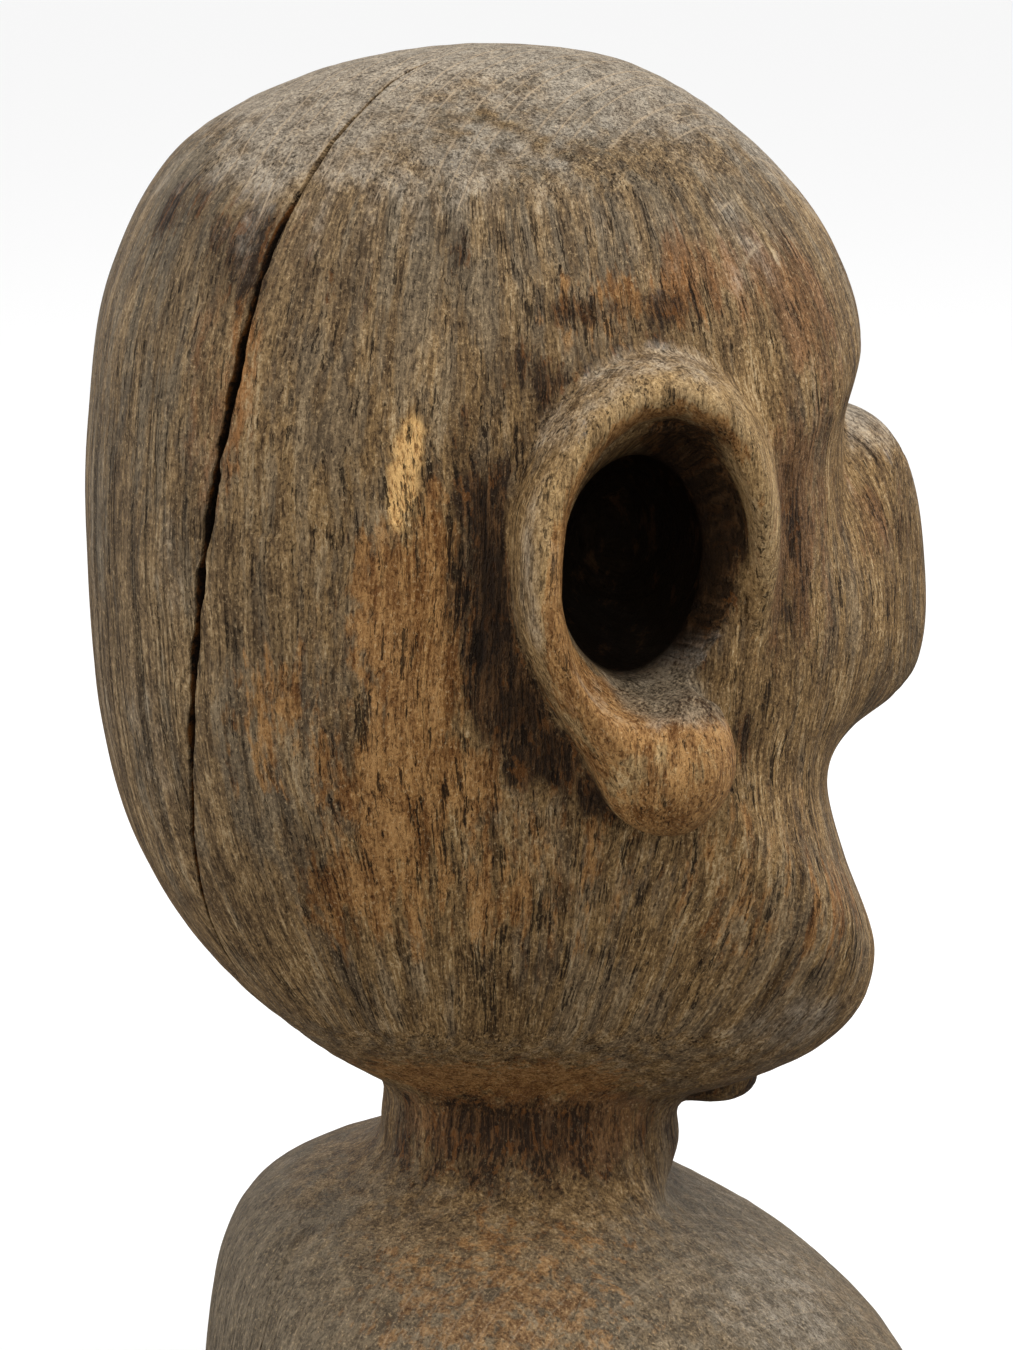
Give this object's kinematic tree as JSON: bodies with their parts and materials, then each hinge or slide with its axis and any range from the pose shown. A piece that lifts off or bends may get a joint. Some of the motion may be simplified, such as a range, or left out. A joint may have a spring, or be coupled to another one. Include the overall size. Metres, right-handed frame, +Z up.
{
  "type": "carved wooden figure bust",
  "caption": "Head and shoulders of a carved wooden female figure: large smooth head, block-like nose, cupped ears round deep holes, short neck, drying crack; cut flat below the shoulders.",
  "frame": {"origin": "on the flat underside, below the middle of the head", "axes": "+Z up, the face looks along -Y, the figure's right side is -X"},
  "size_m": [0.16, 0.1525, 0.264],
  "materials": {
    "weathered_wood": "dry, worn, open-pored hardwood with a dull brown-grey patina"
  },
  "bodies": {
    "root": {"carved_figure": "weathered_wood"}
  },
  "joints": []
}
